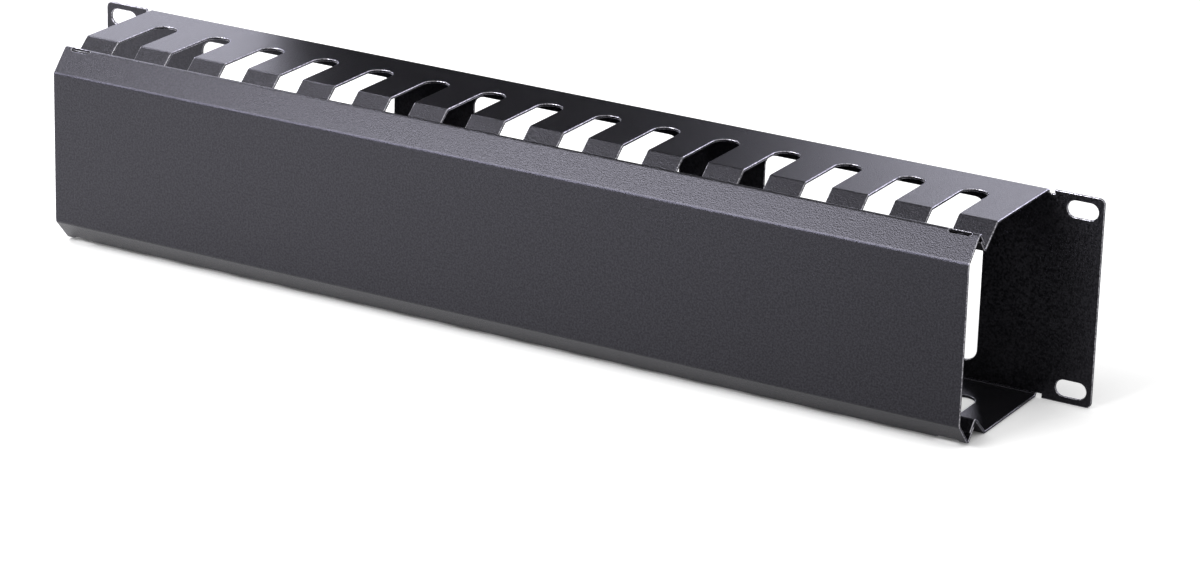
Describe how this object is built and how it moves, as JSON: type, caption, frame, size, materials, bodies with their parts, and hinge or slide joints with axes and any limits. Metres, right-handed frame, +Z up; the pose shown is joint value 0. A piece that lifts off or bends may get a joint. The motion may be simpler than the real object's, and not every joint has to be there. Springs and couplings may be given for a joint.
{
  "type": "horizontal cable manager",
  "caption": "Two-unit rack-mount cable manager: a folded steel channel with slotted fingers above and below, open back plate, rack ears and a clip-on cover.",
  "frame": {"origin": "centre of the rack bolt pattern, on the rear mounting face of the ears", "axes": "+X across the rack, +Y out of the rear mounting face into the rack, +Z up"},
  "size_m": [0.4836, 0.0741, 0.0888],
  "materials": {
    "chassis_coat": "fine-textured satin powder coat",
    "cover_coat": "fine-textured satin powder coat"
  },
  "bodies": {
    "chassis": {"finger_chassis": "chassis_coat"},
    "cover_plate": {"cover": "cover_coat"}
  },
  "joints": [
    {"name": "cover_slide", "type": "slide", "parent": "chassis", "child": "cover_plate", "axis": [1, 0, 0], "range_m": [0, 0.44]}
  ]
}
